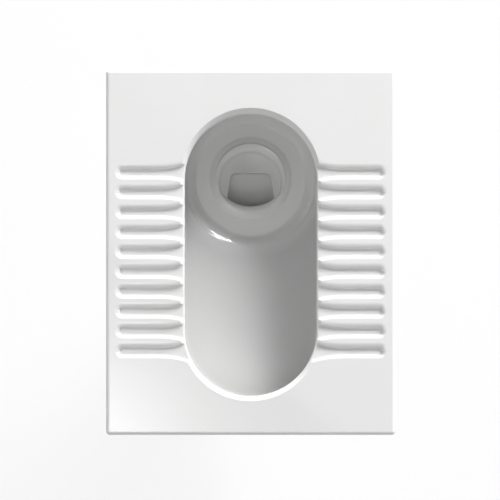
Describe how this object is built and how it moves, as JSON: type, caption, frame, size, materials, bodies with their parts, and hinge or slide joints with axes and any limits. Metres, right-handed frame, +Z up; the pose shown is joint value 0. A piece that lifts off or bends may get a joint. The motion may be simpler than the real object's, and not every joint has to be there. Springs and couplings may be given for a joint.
{
  "type": "squat toilet",
  "caption": "Ceramic squat toilet pan with grooved footrests, a pill-shaped bowl that falls to a round sump, a hollow flushing rim, a rear inlet, and an S-trap under the bowl.",
  "frame": {"origin": "centre of the underside of the deck's skirt, the face that beds on the floor", "axes": "+Z up, +Y towards the outlet end of the pan, +X across it"},
  "size_m": [0.475, 0.6, 0.427],
  "materials": {
    "glaze": "gloss",
    "bisque": "matte",
    "rubber": "matte",
    "pvc": "satin"
  },
  "bodies": {
    "pan": {"deck": "glaze", "underside_ribs": "bisque", "flushing_rim": "glaze", "bowl": "glaze", "outlet_spigot": "bisque", "inlet_horn": "bisque", "flush_cone": "rubber", "pan_connector": "rubber", "trap_ubend": "pvc", "trap_crest_bend": "pvc", "crest_socket_ring": "rubber", "outlet_elbow": "pvc"},
    "cap": {"cleanout_cap": "pvc", "cleanout_seal": "rubber"}
  },
  "joints": [
    {"name": "cap_release", "type": "slide", "parent": "pan", "child": "cap", "axis": [0, 1, 0], "range_m": [0, 0.04]}
  ]
}
